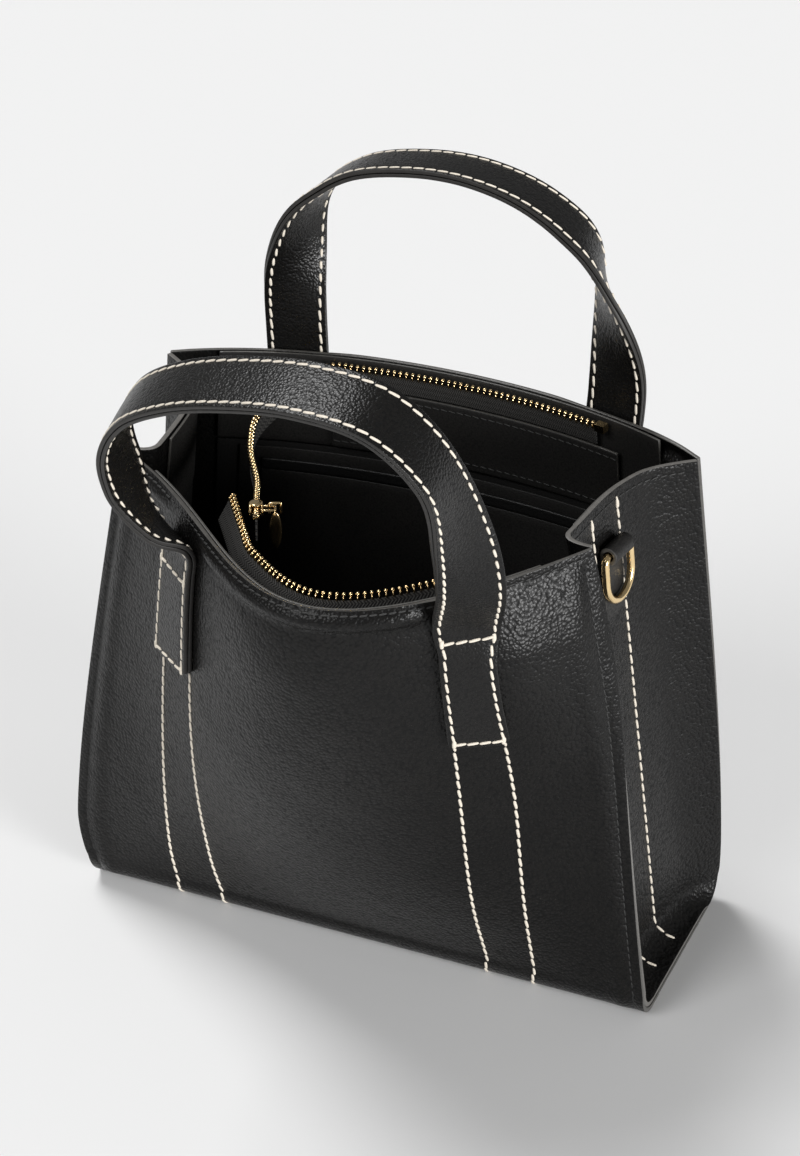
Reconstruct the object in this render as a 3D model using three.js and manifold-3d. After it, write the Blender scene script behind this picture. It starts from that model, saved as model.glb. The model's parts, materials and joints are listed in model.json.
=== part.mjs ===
// A small leather tote bag with an open zip, two flat handles and a D-ring on each side.
// Millimetres. X runs to the viewer's right, Y to the back, Z up. The origin is the middle of the base.
import * as THREE from 'three';
import Module from 'manifold-3d';

const wasm = await Module();
wasm.setup();

// Leather, cloth and the running gap between pieces
const LEATHER = 1.8;
const FACING = 1.2;
const LINING = 0.8;
const CLEAR = 0.3;
const LAYER = 0.5;
const BOARD = 2;

// Body: outer base size, radius of the bottom fold, and the two open rims as Bezier control points
const BASE_WIDTH = 240;
const BASE_DEPTH = 90;
const FOLD_RADIUS = 13;
const FRONT_RIM = [[-93, -41, 203], [-19, -77, 201], [-4, -167, 188], [92, -43, 204]];
const BACK_RIM = [[-109, 30, 206], [-52, 67, 207], [56, 62, 207], [107, 29, 206]];
const FRONT_SWELL = 1.5;
const BELLY = 9;
const SEAM_BAND = 24;

// Side seams: how far each one swells sideways, and how far the front left corner is drawn in below
const RIGHT_BOW = 3.2;
const LEFT_BOW = 4.2;
const HIGH_BOW = 1.8;
const LOW_BOW = 0.6;
const CORNER_PULL = 4.6;
const CORNER_TALL = 35;

// Gussets: flange length at the seams, how far the web is folded in at the base and at the rim
const EDGE_SET = 1.5;
const FLANGE = 12;
const WEB_AT_BASE = 104;
const WEB_AT_RIM = 83;
const WEB_TURN = 3;

// Handles: strap section, patch length, flexing leg, and the arch as [x, rise] in its leaning plane
const STRAP = 24;
const STRAP_THICK = 3.4;
const STRAP_CHAMFER = 0.8;
const FRONT_PATCHES = [-66, 68.5];
const BACK_PATCHES = [-67, 70];
const PATCH_LOW = 0.665;
const PATCH_TOP = 0.885;
const LAUNCH = 10;
const STAND = 0.6;
const FLEX_GAP = 0.8;
const LEG = 38;
const HINGE_AT = 29;
const SLOW_TWIST = [30, 100];
const QUICK_TWIST = [9, 52];
const FRONT_LEAN = 20;
const FRONT_ARCH = [[-62, 25], [-67, 46], [-66, 66], [-54, 87], [-33, 102], [-8, 112], [20, 118],
  [46, 115], [63, 96], [69, 62], [69, 35]];
const BACK_LEAN = -3;
const BACK_ARCH = [[-65, 20], [-66, 60], [-60, 84], [-42, 100], [-15, 107], [10, 107], [34, 100],
  [53, 86], [62, 64], [67, 40], [67, 21]];

// D-rings and their tabs
const RING_WIRE = 3;
const RING_INNER = 16;
const RING_ARM = 10.5;
const RING_CORNER = 2.5;
const RING_DROP = 20;
const BAR_PLAY = 0.4;
const TAB_WIDTH = 14;
const TAB_TAIL = 27;
const TAB_THICK = 1.7;

// Zip
const FLAP_ROOT = 0.8;
const FLAP_TOP = 0.94;
const FLAP_THICK = 1.4;
const FRONT_FLAP_REACH = 4;
const BACK_FLAP_REACH = 1.2;
const TAPE = 0.8;
const TAPE_FOOT = 0.944;
const FRONT_CHAIN_AT = 0.99;
const FRONT_CHAIN_REACH = 9;
const BACK_CHAIN_AT = 0.982;
const BACK_CHAIN_REACH = 2.6;
const TOOTH_PITCH = 2.5;
const TOOTH_TALL = 2.6;
const TOOTH_DEEP = 2.4;
const TOOTH_ROOT = 1.2;
const STOP = [3, 3.4, 4];
const FLAP_LEFT = -0.55;
const CHAIN_LEFT = -0.35;
const FLAP_RIGHT = 0.7;
const CHAIN_RIGHT = 0.6;
const PARKED = 34;
const PARK_TURN = -16;
const STRAIGHT_END = 22;
const BACK_FREE = [[-56, 32, 203], [-61, 8, 199], [-55, -12, 197], [-41, -36, 197]];
const FREE_TAPE = 9;
const LANDING_ALONG = 8;
const LANDING_BESIDE = 8.4;
const SLIDER_BACK = 7;
const SLIDER_LONG = 8;
const SLIDER_TALL = 5.6;
const SLIDER_PLATE = 1;
const SLIDER_BRIDGE = 1.2;
const BAIL_OUT = 4.8;
const BAIL_HALF = 2.2;
const BAIL_BAR = [1.6, 5.4, 1.2];
const PULL_EYE = 5.4;
const PULL_LONG = 15;
const PULL_WIRE = 1.2;
const PULL_THICK = 1.4;

const vec = (x, y, z) => new THREE.Vector3(x, y, z);
const mix = THREE.MathUtils.lerp;
const smooth = (x) => THREE.MathUtils.smoothstep(x, 0, 1);
const part = new THREE.Group();
const paint = {
  leather: new THREE.MeshStandardMaterial({ color: 0x1b1b1c, roughness: 0.6 }),
  cloth: new THREE.MeshStandardMaterial({ color: 0x101011, roughness: 0.9 }),
  board: new THREE.MeshStandardMaterial({ color: 0x6b5b45, roughness: 0.9 }),
  gold: new THREE.MeshStandardMaterial({ color: 0xc9a15a, roughness: 0.3, metalness: 1 }),
};

function add(name, geometry, material) {
  const mesh = new THREE.Mesh(geometry, material);
  mesh.name = name;
  part.add(mesh);
}

// Joint places, for the record: a point in millimetres and a direction
function report(name, point, axis) {
  console.log(name, point.toArray().map((x) => x.toFixed(2)).join(' '), 'axis',
    axis.toArray().map((x) => x.toFixed(6)).join(' '));
}

function body(points, faces) {
  const geometry = new THREE.BufferGeometry();
  geometry.setAttribute('position', new THREE.Float32BufferAttribute(points.flatMap((p) => p.toArray()), 3));
  geometry.setIndex(faces.flat());
  geometry.computeVertexNormals();
  return geometry;
}

const steps = (from, to, count) => Array.from({ length: count + 1 }, (_, i) => mix(from, to, i / count));

function normalAt(surface, a, b) {
  const e = 1e-3;
  const alongA = surface(a + e, b).sub(surface(a - e, b));
  const alongB = surface(a, b + e).sub(surface(a, b - e));
  return alongA.cross(alongB).normalize();
}

// A sheet of even thickness between two offsets of a surface, closed along its four edges
function sheet(surface, as, bs, low, high) {
  const points = [];
  const faces = [];
  const wide = as.length;
  const layer = wide * bs.length;
  for (const offset of [high, low]) {
    for (const b of bs) {
      for (const a of as) {
        points.push(surface(a, b).addScaledVector(normalAt(surface, a, b), offset));
      }
    }
  }
  const quad = (p, q, r, s) => faces.push([p, q, r], [p, r, s]);
  for (let j = 0; j + 1 < bs.length; j += 1) {
    for (let i = 0; i + 1 < wide; i += 1) {
      const k = j * wide + i;
      quad(k, k + 1, k + wide + 1, k + wide);
      quad(layer + k, layer + k + wide, layer + k + wide + 1, layer + k + 1);
    }
  }
  const rim = [];
  for (let i = 0; i < wide; i += 1) rim.push(i);
  for (let j = 1; j < bs.length; j += 1) rim.push(j * wide + wide - 1);
  for (let i = wide - 2; i >= 0; i -= 1) rim.push(layer - wide + i);
  for (let j = bs.length - 2; j > 0; j -= 1) rim.push(j * wide);
  rim.forEach((p, i) => {
    const q = rim[(i + 1) % rim.length];
    quad(p, layer + p, layer + q, q);
  });
  return body(points, faces);
}

// A skin through a row of equal rings, closed at both ends or joined into a loop
function loft(rings, closed = false) {
  const size = rings[0].length;
  const points = rings.flat();
  const faces = [];
  const last = closed ? rings.length : rings.length - 1;
  for (let j = 0; j < last; j += 1) {
    const here = j * size;
    const next = ((j + 1) % rings.length) * size;
    for (let i = 0; i < size; i += 1) {
      const k = (i + 1) % size;
      faces.push([here + i, here + k, next + k], [here + i, next + k, next + i]);
    }
  }
  if (!closed) {
    const end = (rings.length - 1) * size;
    for (let i = 1; i + 1 < size; i += 1) {
      faces.push([0, i + 1, i], [end, end + i, end + i + 1]);
    }
  }
  return body(points, faces);
}

function solid(geometry) {
  const mesh = new wasm.Mesh({
    numProp: 3,
    vertProperties: new Float32Array(geometry.attributes.position.array),
    triVerts: new Uint32Array(geometry.index.array),
  });
  return new wasm.Manifold(mesh);
}

function meshed(manifold) {
  const mesh = manifold.getMesh();
  const geometry = new THREE.BufferGeometry();
  geometry.setAttribute('position', new THREE.Float32BufferAttribute(Array.from(mesh.vertProperties), 3));
  geometry.setIndex(Array.from(mesh.triVerts));
  geometry.computeVertexNormals();
  return geometry;
}

// A box placed by a frame of three directions
function block(centre, frame, sizes) {
  const ring = (c) => [[-1, -1], [1, -1], [1, 1], [-1, 1]].map(([i, j]) => centre.clone()
    .addScaledVector(frame[0], i * sizes[0] / 2)
    .addScaledVector(frame[1], j * sizes[1] / 2)
    .addScaledVector(frame[2], c * sizes[2] / 2));
  return loft([ring(-1), ring(1)]);
}

// Front and back panels: flat base, rounded fold, then a straight wall up to the bowed rim
const bezier = (points) => new THREE.CubicBezierCurve3(...points.map((p) => vec(...p)));
const frontRim = bezier(FRONT_RIM);
const backRim = bezier(BACK_RIM);
const halfBase = BASE_DEPTH / 2 - LEATHER;
const bend = FOLD_RADIUS - LEATHER;
const flat = halfBase - bend;
const bandStart = SEAM_BAND / flat;

function along(curve, s) {
  const inside = THREE.MathUtils.clamp(s, 0, 1);
  const beyond = (s - inside) * curve.getLength();
  return curve.getPointAt(inside).addScaledVector(curve.getTangentAt(inside), beyond);
}

// Sideways shift of the panel, strongest at its side seams
function bow(side, m, t, z) {
  const w = THREE.MathUtils.clamp(t - 2, 0, 1);
  const low = Math.sin(Math.PI * w ** LOW_BOW);
  if (m > 0) return RIGHT_BOW * m * m * (side < 0 ? Math.sin(Math.PI * w ** HIGH_BOW) : low);
  const drawn = side < 0 ? CORNER_PULL * smooth((t - bandStart) / (1.5 - bandStart)) : 0;
  return m * m * (drawn * (1 - smooth(z / CORNER_TALL)) - LEFT_BOW * low);
}

function wrap(side, m, t) {
  const p = straight(side, m, t);
  p.x += bow(side, m, t, p.z);
  return p;
}

function straight(side, m, t) {
  const x = m * BASE_WIDTH / 2;
  if (t <= 1) return vec(x, side * flat * t, LEATHER);
  if (t <= 2) {
    const turn = (t - 1) * Math.PI / 2;
    return vec(x, side * (flat + bend * Math.sin(turn)), LEATHER + bend * (1 - Math.cos(turn)));
  }
  const foot = vec(x, side * halfBase, LEATHER + bend);
  const w = t - 2;
  const lip = along(side < 0 ? frontRim : backRim, (m + 1) / 2);
  const p = foot.clone().lerp(lip, w);
  if (side < 0) {
    p.y = mix(foot.y, lip.y, 1 - Math.max(1 - w, 0) ** FRONT_SWELL);
    p.y -= BELLY * Math.sin(Math.PI * Math.min(w, 1)) * (1 - m * m) * (1 - m) / 1.2;
  }
  return p;
}

const front = (m, t) => wrap(-1, m, t);
const back = (m, t) => wrap(1, -m, t);
const columns = steps(-1, 1, 24);
const between = (low, high) => columns.filter((m) => m > low && m < high);
const panelRows = [...steps(bandStart + CLEAR / flat, 1, 1), ...steps(1.25, 2, 3), ...steps(2.1, 3, 9)];
add('front_panel', sheet(front, columns, panelRows, 0, LEATHER), paint.leather);
add('back_panel', sheet(back, columns, panelRows, 0, LEATHER), paint.leather);

const level = (z) => (x, y) => vec(x, y, z);
const halfWide = BASE_WIDTH / 2;
const baseSheet = (x, y, low, high) => sheet(level(0), [-x, x], [-y, y], low, high);
add('base_panel', baseSheet(halfWide, SEAM_BAND, 0, LEATHER), paint.leather);
const boardFoot = LEATHER + CLEAR;
add('base_board', baseSheet(WEB_AT_BASE - 3, flat - 1, boardFoot, boardFoot + BOARD), paint.board);
const liningFoot = boardFoot + BOARD + CLEAR;
add('lining_base', baseSheet(WEB_AT_BASE - 4, flat - 2, liningFoot, liningFoot + LINING), paint.cloth);

// Gussets: a flange at each seam, then a web folded into the bag, kicked out to the base edge
function soft(points, s) {
  const spans = points.length - 2;
  const i = THREE.MathUtils.clamp(Math.floor(s * spans), 0, spans - 1);
  const f = s * spans - i;
  const middle = (p, q) => p.clone().lerp(q, 0.5);
  const start = i === 0 ? points[0] : middle(points[i], points[i + 1]);
  const end = i === spans - 1 ? points[spans + 1] : middle(points[i + 1], points[i + 2]);
  return start.clone().lerp(points[i + 1], f).lerp(points[i + 1].clone().lerp(end, f), f);
}

function gusset(side) {
  return (u, t) => {
    const s = side > 0 ? u : 1 - u;
    const m = side * (1 - 2 * EDGE_SET / BASE_WIDTH);
    const edgeFront = front(m, t).addScaledVector(normalAt(front, m, t), -CLEAR);
    const edgeBack = back(-m, t).addScaledVector(normalAt(back, -m, t), -CLEAR);
    const kick = smooth(Math.min(t - 1, 1) * 0.5 + 0.5) * 2 - 1;
    const rise = Math.max(t - 2, 0);
    const web = side * mix(WEB_AT_BASE, WEB_AT_RIM, rise);
    const inset = (p, x) => vec(mix(p.x, x, kick), p.y, p.z);
    const across = (f) => edgeFront.clone().lerp(edgeBack, f);
    return soft([
      edgeFront,
      inset(edgeFront, edgeFront.x - side * FLANGE),
      inset(across(0.21), web - side * WEB_TURN / 2),
      inset(across(0.46), web),
      inset(across(0.65), web + side * WEB_TURN),
      inset(across(0.86), mix(web, edgeBack.x, 0.4)),
      edgeBack,
    ], s);
  };
}

const webColumns = steps(0, 1, 18);
const gussetRows = [...steps(1, 2, 4), ...steps(2.16, 3, 5)];
for (const [name, side] of [['left', -1], ['right', 1]]) {
  const web = gusset(side);
  add(`gusset_${name}`, sheet(web, webColumns, gussetRows, 0, LEATHER), paint.leather);
  const inner = (low, high, thick, count) => sheet(web, webColumns.slice(5, 14), steps(low, high, count),
    -CLEAR - thick, -CLEAR);
  add(`facing_${name}`, inner(2 + FLAP_ROOT, 2.995, FACING, 2), paint.leather);
  add(`lining_${name}`, inner(2.1, 2 + FLAP_ROOT - 0.005, LINING, 4), paint.cloth);
}

// Facings round the rim, linings below them, and the pockets on the back wall
const inward = (surface, low, high, mLow, mHigh, tall, from, thick) => sheet(
  surface, between(mLow, mHigh), steps(low, high, tall), -from - thick, -from,
);
const deep = LAYER + FACING + LAYER;
const liningDeep = LAYER + LINING + CLEAR;
add('facing_front', inward(front, 2 + FLAP_ROOT, 2.997, -0.84, 0.84, 2, LAYER, FACING), paint.leather);
add('facing_back', inward(back, 2 + FLAP_ROOT, 2.997, -0.84, 0.84, 2, LAYER, FACING), paint.leather);
add('lining_front', inward(front, 2.02, 1.995 + FLAP_ROOT, -0.84, 0.84, 7, LAYER, LINING), paint.cloth);
add('lining_back', inward(back, 2.02, 1.995 + FLAP_ROOT, -0.84, 0.84, 7, LAYER, LINING), paint.cloth);
add('slip_pocket', inward(back, 2.24, 2.785, -0.76, 0.76, 5, liningDeep, LINING), paint.cloth);
const patchDeep = liningDeep + LINING + CLEAR;
add('patch_pocket', inward(back, 2.2, 2.735, -0.68, 0.68, 5, patchDeep, LINING), paint.cloth);
add('pocket_binding', inward(back, 2.738, 2.762, -0.68, 0.68, 1, patchDeep - 0.1, 1.6), paint.leather);

// Zip: flaps along both walls, tapes ruled from the flap tops to the toothed chains
const inside = (surface, m, w, depth) => surface(m, 2 + w)
  .addScaledVector(normalAt(surface, m, 2 + w), -depth);
const flapSurface = (surface, reach) => (m, w) => {
  const f = (w - FLAP_ROOT) / (FLAP_TOP - FLAP_ROOT);
  return inside(surface, m, w, deep + mix(0, reach, smooth(f)));
};
const frontFlap = flapSurface(front, FRONT_FLAP_REACH);
const backFlap = flapSurface(back, BACK_FLAP_REACH);
const flapRows = steps(FLAP_ROOT + 0.004, FLAP_TOP, 3);
add('zip_flap_front', sheet(frontFlap, between(FLAP_LEFT, FLAP_RIGHT), flapRows, -FLAP_THICK, 0), paint.leather);
add('zip_flap_back', sheet(backFlap, between(-0.72, 0.42), flapRows, -FLAP_THICK, 0), paint.leather);

// One half of the zip: rows of [tape edge, chain edge], then a toothed bar along the chain edge
function half(name, rows, flip) {
  const edge = new THREE.CatmullRomCurve3(rows.map((r) => r[0]), false, 'centripetal');
  const chain = new THREE.CatmullRomCurve3(rows.map((r) => r[1]), false, 'centripetal');
  const reach = (s) => chain.getPoint(s).sub(edge.getPoint(s)).normalize();
  const ribbon = (place, f) => {
    const s = THREE.MathUtils.clamp(place, 0, 1);
    return edge.getPoint(s).lerp(chain.getPoint(s).addScaledVector(reach(s), -LAYER), f);
  };
  const stations = steps(0, 1, rows.length * 3);
  add(`zip_tape_${name}`, sheet(ribbon, flip ? stations.map((s) => 1 - s).reverse() : stations, [0, 1],
    -TAPE / 2, TAPE / 2), paint.cloth);
  const count = Math.round(chain.getLength() / TOOTH_PITCH) * 2;
  const rings = [];
  for (let i = 0; i <= count; i += 1) {
    const s = chain.getUtoTmapping(i / count);
    const d = reach(s);
    const side = chain.getTangent(s).cross(d).normalize();
    const tip = i % 2 ? TOOTH_DEEP : TOOTH_ROOT;
    const p = chain.getPoint(s);
    const at = (a, b) => p.clone().addScaledVector(d, a).addScaledVector(side, b * TOOTH_TALL / 2);
    rings.push([at(0, -1), at(0, 1), at(tip, 0.7), at(tip, -0.7)].reverse());
  }
  add(`zip_teeth_${name}`, loft(rings), paint.gold);
  const end = chain.getPoint(0);
  const t = chain.getTangent(0);
  const d = reach(0);
  add(`zip_stop_${name}`, block(end.addScaledVector(t, -STOP[2] / 2 - CLEAR)
    .addScaledVector(d, TOOTH_DEEP / 3), [d, t.clone().cross(d).normalize(), t], STOP), paint.gold);
}

const tapeDeep = deep + FLAP_THICK / 2;
const frontRow = (m) => [inside(front, m, TAPE_FOOT, tapeDeep + FRONT_FLAP_REACH),
  inside(front, m, FRONT_CHAIN_AT, deep + FRONT_CHAIN_REACH)];
const frontRows = between(CHAIN_LEFT, CHAIN_RIGHT).reverse().map(frontRow);
const lastRow = frontRows[frontRows.length - 1];
const heading = lastRow[1].clone().sub(frontRows[frontRows.length - 2][1]).normalize()
  .applyAxisAngle(vec(0, 0, 1), THREE.MathUtils.degToRad(PARK_TURN));
const leftward = (p, d) => p.clone().addScaledVector(heading, d);
for (const d of steps(0, PARKED, 4).slice(1)) frontRows.push(lastRow.map((p) => leftward(p, d)));
half('front', frontRows, false);

const mate = lastRow[1].clone().sub(lastRow[0]).normalize();
const beside = mate.clone().addScaledVector(heading, -mate.dot(heading)).normalize();
const backRow = (m) => [inside(back, m, TAPE_FOOT, tapeDeep + BACK_FLAP_REACH),
  inside(back, m, BACK_CHAIN_AT, deep + BACK_CHAIN_REACH)];
const backRows = between(-0.64, 0.42).map(backRow);
const landing = leftward(lastRow[1], LANDING_ALONG).addScaledVector(beside, LANDING_BESIDE);
const freeLine = BACK_FREE.map((q) => vec(...q));
const slide = landing.clone().sub(freeLine[freeLine.length - 1]).normalize();
for (const d of steps(STRAIGHT_END, 0, 2)) freeLine.push(landing.clone().addScaledVector(slide, -d));
for (const p of freeLine) backRows.push([p.clone().addScaledVector(vec(0, 0, 1), -FREE_TAPE), p]);
half('back', backRows, true);

// Slider on the free end of the back chain, with its pull hanging from a bail
const rise = vec(0, 0, 1).addScaledVector(slide, -slide.z).normalize();
const aside = rise.clone().cross(slide).normalize();
const sliderFrame = [rise, slide, aside];
const sliderAt = landing.clone().addScaledVector(slide, -SLIDER_BACK).addScaledVector(rise, TOOTH_DEEP / 2 + 0.2);
const onSlider = (a, b, c) => sliderAt.clone().addScaledVector(slide, a)
  .addScaledVector(rise, b).addScaledVector(aside, c);
const plateAt = TOOTH_TALL / 2 + CLEAR + SLIDER_PLATE / 2;
const barAside = plateAt + BAIL_OUT;
const bailMid = (plateAt + barAside) / 2;
const slider = [
  block(onSlider(0, 0, plateAt), sliderFrame, [SLIDER_TALL, SLIDER_LONG, SLIDER_PLATE]),
  block(onSlider(0, 0, -plateAt), sliderFrame, [SLIDER_TALL, SLIDER_LONG, SLIDER_PLATE]),
  block(onSlider(0, (SLIDER_TALL - SLIDER_BRIDGE) / 2, 0), sliderFrame,
    [SLIDER_BRIDGE, SLIDER_LONG, 2 * plateAt + SLIDER_PLATE]),
  block(onSlider(-BAIL_HALF, 0, bailMid), sliderFrame, [2, 1, BAIL_OUT]),
  block(onSlider(BAIL_HALF, 0, bailMid), sliderFrame, [2, 1, BAIL_OUT]),
  block(onSlider(0, 0, barAside), sliderFrame, BAIL_BAR),
].map(solid).reduce((x, y) => x.add(y));
add('zip_slider', meshed(slider), paint.gold);

// The pull hangs straight down: a plate with an eye round the bail's bar
const pullAt = onSlider(0, 0, barAside);
const pullOut = vec(-slide.y, slide.x, 0).normalize();
const pullFrame = [pullOut.clone().cross(vec(0, 0, 1)), pullOut, vec(0, 0, 1)];
const pullBlock = (x, z, wide, long) => solid(block(pullAt.clone().addScaledVector(pullOut, x)
  .add(vec(0, 0, z)), pullFrame, [PULL_THICK, wide, long]));
const pullArm = (PULL_EYE - PULL_WIRE) / 2;
const pull = pullBlock(0, pullArm, PULL_EYE, PULL_WIRE)
  .add(pullBlock(pullArm, 0, PULL_WIRE, PULL_EYE))
  .add(pullBlock(-pullArm, 0, PULL_WIRE, PULL_EYE))
  .add(pullBlock(0, PULL_WIRE / 2 - pullArm - PULL_LONG / 2, PULL_EYE, PULL_LONG));
report('pull hinge and slide', pullAt, slide);
add('zip_pull', meshed(pull), paint.gold);

// Handles: a sewn patch at each end, a flexing leg up to the rim, and the loop above
function handle(name, side, places, twists, lean, arch) {
  const surface = side < 0 ? front : back;
  const ends = places.map((x) => {
    const m = x / halfWide * -side;
    const halfM = (t) => STRAP / 2 / surface(m + 0.5, t).distanceTo(surface(m - 0.5, t));
    const lift = LEATHER + CLEAR;
    const patch = sheet((a, t) => surface(m + a * halfM(t), t), steps(-1, 1, 4),
      steps(2 + PATCH_LOW, 2 + PATCH_TOP, 3), lift, lift + STRAP_THICK);
    add(`patch_${name}_${x < 0 ? 'left' : 'right'}`, patch, paint.leather);
    const normal = normalAt(surface, m, 2 + PATCH_TOP);
    const at = surface(m, 2 + PATCH_TOP).addScaledVector(normal, lift + STRAP_THICK / 2);
    const rising = surface(m, 2 + PATCH_TOP + 0.01).sub(surface(m, 2 + PATCH_TOP - 0.01)).normalize();
    return { normal, at, clear: at.clone().addScaledVector(rising, LAUNCH).addScaledVector(normal, STAND) };
  });
  const [left, right] = ends.map((e) => e.at);
  const slope = THREE.MathUtils.degToRad(lean);
  const place = ([x, rise]) => {
    const base = left.clone().lerp(right, (x - left.x) / (right.x - left.x));
    return vec(x, base.y - rise * Math.sin(slope), base.z + rise * Math.cos(slope));
  };
  const route = new THREE.CatmullRomCurve3([left, ends[0].clear, ...arch.map(place), ends[1].clear, right],
    false, 'centripetal');
  const long = route.getLength();
  const face = vec(0, -Math.cos(slope), -Math.sin(slope));
  const ring = (d) => {
    const p = route.getPointAt(d / long);
    const t = route.getTangentAt(d / long);
    const crest = t.clone().cross(face).normalize();
    if (crest.dot(p.clone().sub(left.clone().lerp(right, 0.5))) < 0) crest.negate();
    const near = d < long / 2 ? 0 : 1;
    const [from, to] = twists[near];
    const turn = smooth((Math.min(d, long - d) - from) / (to - from)) * Math.PI / 2;
    const n = ends[near].normal.clone().multiplyScalar(Math.cos(turn)).addScaledVector(crest, Math.sin(turn));
    n.addScaledVector(t, -n.dot(t)).normalize();
    const b = t.clone().cross(n);
    const [w, h, c] = [STRAP / 2, STRAP_THICK / 2, STRAP_CHAMFER];
    return [[-w, -h + c], [-w + c, -h], [w - c, -h], [w, -h + c], [w, h - c], [w - c, h], [-w + c, h], [-w, h - c]]
      .map(([i, j]) => p.clone().addScaledVector(n, j).addScaledVector(b, -i));
  };
  const strap = (from, to, count) => loft(steps(from, to, count).map(ring));
  add(`leg_${name}_left`, strap(FLEX_GAP, LEG, 5), paint.leather);
  add(`leg_${name}_right`, strap(long - LEG, long - FLEX_GAP, 5), paint.leather);
  add(`handle_${name}`, strap(LEG + CLEAR, long - LEG - CLEAR, 34), paint.leather);
  const middle = (list) => list.reduce((sum, p) => sum.add(p), vec(0, 0, 0)).divideScalar(list.length);
  const hinge = [middle(ring(HINGE_AT)), middle(ring(long - HINGE_AT))];
  const axis = hinge[1].clone().sub(hinge[0]).normalize();
  report(`${name} handle hinge`, hinge[0].lerp(hinge[1], 0.5), axis);
}

handle('front', -1, FRONT_PATCHES, [QUICK_TWIST, SLOW_TWIST], FRONT_LEAN, FRONT_ARCH);
handle('back', 1, BACK_PATCHES, [SLOW_TWIST, SLOW_TWIST], BACK_LEAN, BACK_ARCH);

// D-rings: each hangs by its bar in a looped tab sewn on the gusset
for (const [name, side] of [['left', -1], ['right', 1]]) {
  const web = gusset(side);
  const t = 3 - RING_DROP / (web(0.5, 3).distanceTo(web(0.5, 2)));
  const out = normalAt(web, 0.5, t);
  const hole = RING_WIRE / 2 + BAR_PLAY;
  const rim = hole + TAB_THICK;
  const bar = web(0.5, t).addScaledVector(out, LEATHER + CLEAR + rim);
  const yAxis = out.clone().cross(vec(0, 0, 1)).normalize().multiplyScalar(-side);
  const down = yAxis.clone().cross(out).normalize();
  if (down.z > 0) down.negate();
  const sector = (r, count) => Array.from({ length: count }, (_, i) => {
    const a = i / count * 2 * Math.PI;
    return [r * Math.cos(a), r * Math.sin(a)];
  });
  const prism = (outline, width) => loft([-1, 1].map((end) => outline.map(([a, b]) => bar.clone()
    .addScaledVector(out, a).addScaledVector(down, b).addScaledVector(yAxis, end * width / 2))));
  const spin = out.clone().cross(down).dot(yAxis) > 0;
  const turned = (outline) => (spin ? outline : outline.slice().reverse());
  const loop = solid(prism(turned(sector(rim, 20)), TAB_WIDTH));
  const bore = solid(prism(turned(sector(hole, 20)), TAB_WIDTH + 4));
  const tail = solid(prism(turned([[-rim, 0], [-rim + TAB_THICK, 0], [-rim + TAB_THICK, TAB_TAIL], [-rim, TAB_TAIL]]),
    TAB_WIDTH));
  add(`ring_tab_${name}`, meshed(loop.add(tail).subtract(bore)), paint.leather);
  const half = (RING_INNER + RING_WIRE) / 2;
  const outline = [];
  for (const [cy, cz, r, from, to, count] of [[half - RING_CORNER, RING_CORNER, RING_CORNER, -90, 0, 3],
    [0, RING_ARM, half, 0, 180, 10], [RING_CORNER - half, RING_CORNER, RING_CORNER, 180, 270, 3]]) {
    for (const a of steps(from, to, count)) {
      const q = THREE.MathUtils.degToRad(a);
      outline.push([cy + r * Math.cos(q), cz + r * Math.sin(q), q]);
    }
  }
  const rings = outline.map(([y, z, q]) => sector(RING_WIRE / 2, 8).map(([i, j]) => bar.clone()
    .addScaledVector(yAxis, y + i * Math.cos(q)).addScaledVector(down, z + i * Math.sin(q)).addScaledVector(out, j)));
  add(`d_ring_${name}`, loft(spin ? rings : rings.map((r) => r.slice().reverse()), true), paint.gold);
  report(`${name} ring hinge`, bar, yAxis);
}

export default part;
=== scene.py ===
"""A small black leather tote bag, standing open with its zip undone.

Sizes are in millimetres and become metres where a mesh is made.
X runs to the right, Y to the back and Z up.
"""
import bisect
import functools
import json
import math

import bmesh
import bpy
from mathutils import Matrix, Vector, geometry


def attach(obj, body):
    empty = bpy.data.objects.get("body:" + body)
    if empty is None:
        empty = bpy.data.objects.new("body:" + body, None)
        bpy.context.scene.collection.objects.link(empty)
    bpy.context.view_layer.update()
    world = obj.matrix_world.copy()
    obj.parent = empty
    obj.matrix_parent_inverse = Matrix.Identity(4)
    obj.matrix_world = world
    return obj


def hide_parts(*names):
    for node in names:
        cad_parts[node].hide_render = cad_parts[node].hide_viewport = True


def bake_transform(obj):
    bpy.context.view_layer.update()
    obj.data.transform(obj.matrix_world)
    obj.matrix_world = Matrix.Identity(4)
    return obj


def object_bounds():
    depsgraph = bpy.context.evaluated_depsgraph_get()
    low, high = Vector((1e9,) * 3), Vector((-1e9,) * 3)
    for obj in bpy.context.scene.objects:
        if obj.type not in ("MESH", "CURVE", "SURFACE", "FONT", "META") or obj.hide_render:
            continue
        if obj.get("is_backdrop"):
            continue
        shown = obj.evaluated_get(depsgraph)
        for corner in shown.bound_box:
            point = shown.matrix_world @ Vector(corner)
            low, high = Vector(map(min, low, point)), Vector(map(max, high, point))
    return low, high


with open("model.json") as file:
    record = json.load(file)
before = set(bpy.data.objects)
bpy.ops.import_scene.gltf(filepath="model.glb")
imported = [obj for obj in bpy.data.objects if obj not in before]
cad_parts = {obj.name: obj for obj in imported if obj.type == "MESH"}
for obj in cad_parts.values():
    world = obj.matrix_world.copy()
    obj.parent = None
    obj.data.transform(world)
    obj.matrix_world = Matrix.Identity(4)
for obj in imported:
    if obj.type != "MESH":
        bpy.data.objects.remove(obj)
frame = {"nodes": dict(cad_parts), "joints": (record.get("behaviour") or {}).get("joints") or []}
cad_low, cad_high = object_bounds()

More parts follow.
